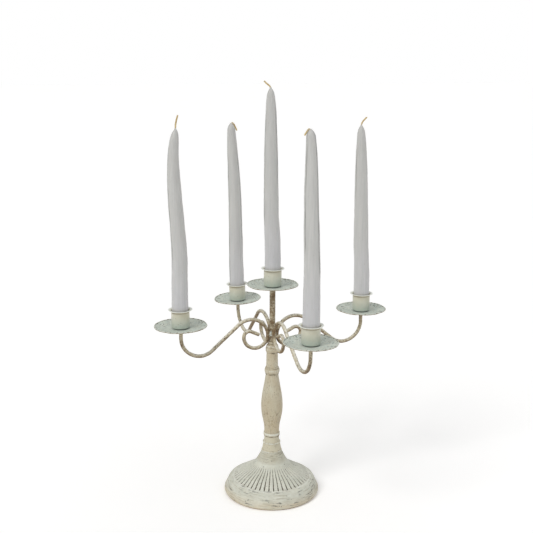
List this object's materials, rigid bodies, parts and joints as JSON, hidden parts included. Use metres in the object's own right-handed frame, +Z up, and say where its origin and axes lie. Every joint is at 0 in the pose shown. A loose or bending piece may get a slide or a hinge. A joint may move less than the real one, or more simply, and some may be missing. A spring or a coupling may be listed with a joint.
{
  "type": "candelabrum",
  "caption": "Table candelabrum: scrolled arms welded round a stem on a turned column and fluted bell foot, with drip pans and cups holding warped taper candles.",
  "frame": {"origin": "centre of the foot's underside, on the surface it stands on", "axes": "+Z up along the stem; the left arm points along -X, the front arm along -Y, the right arm along +X and the back arm along +Y, each within 2 degrees"},
  "size_m": [0.3279, 0.3273, 0.5628],
  "materials": {
    "foot_paint": "chalky antique cream-green paint, rubbed back to dark metal in the flutes",
    "column_paint": "antique beige paint with fine dark specks and scratches",
    "arm_paint": "cream paint worn to brown on the undersides",
    "pan_paint": "pale grey-green paint, chipped near the rim",
    "cup_paint": "satin cream paint",
    "zinc_steel": "zinc plated",
    "candle_wax": "matt off-white dipped wax",
    "wick_cotton": "waxed braided cotton"
  },
  "bodies": {
    "stand": {"base_foot": "foot_paint", "base_washer": "zinc_steel", "base_nut": "zinc_steel", "base_collar": "column_paint", "lower_bead": "column_paint", "baluster": "column_paint", "upper_bead": "column_paint", "neck_sleeve": "column_paint", "top_cap": "column_paint", "stem_ring": "arm_paint", "stem_rod": "arm_paint", "arm_welds": "arm_paint", "arm_left": "arm_paint", "arm_front": "arm_paint", "arm_right": "arm_paint", "arm_back": "arm_paint", "drip_pan_left": "pan_paint", "drip_pan_front": "pan_paint", "drip_pan_right": "pan_paint", "drip_pan_back": "pan_paint", "drip_pan_centre": "pan_paint", "candle_cup_left": "cup_paint", "candle_cup_front": "cup_paint", "candle_cup_right": "cup_paint", "candle_cup_back": "cup_paint", "candle_cup_centre": "cup_paint", "cup_screw_left": "zinc_steel", "cup_screw_front": "zinc_steel", "cup_screw_right": "zinc_steel", "cup_screw_back": "zinc_steel", "cup_screw_centre": "zinc_steel"},
    "taper_left": {"candle_left": "candle_wax", "wick_left": "wick_cotton"},
    "taper_front": {"candle_front": "candle_wax", "wick_front": "wick_cotton"},
    "taper_right": {"candle_right": "candle_wax", "wick_right": "wick_cotton"},
    "taper_back": {"candle_back": "candle_wax", "wick_back": "wick_cotton"},
    "taper_centre": {"candle_centre": "candle_wax", "wick_centre": "wick_cotton"}
  },
  "joints": [
    {"name": "lift_left", "type": "slide", "parent": "stand", "child": "taper_left", "axis": [-0.014, -0.0002, 0.9999], "range_m": [0, 0.06]},
    {"name": "lift_front", "type": "slide", "parent": "stand", "child": "taper_front", "axis": [0, 0, 1], "range_m": [0, 0.06]},
    {"name": "lift_right", "type": "slide", "parent": "stand", "child": "taper_right", "axis": [0, 0, 1], "range_m": [0, 0.06]},
    {"name": "lift_back", "type": "slide", "parent": "stand", "child": "taper_back", "axis": [-0.0419, -0.0011, 0.9991], "range_m": [0, 0.06]},
    {"name": "lift_centre", "type": "slide", "parent": "stand", "child": "taper_centre", "axis": [0, 0, 1], "range_m": [0, 0.06]}
  ]
}
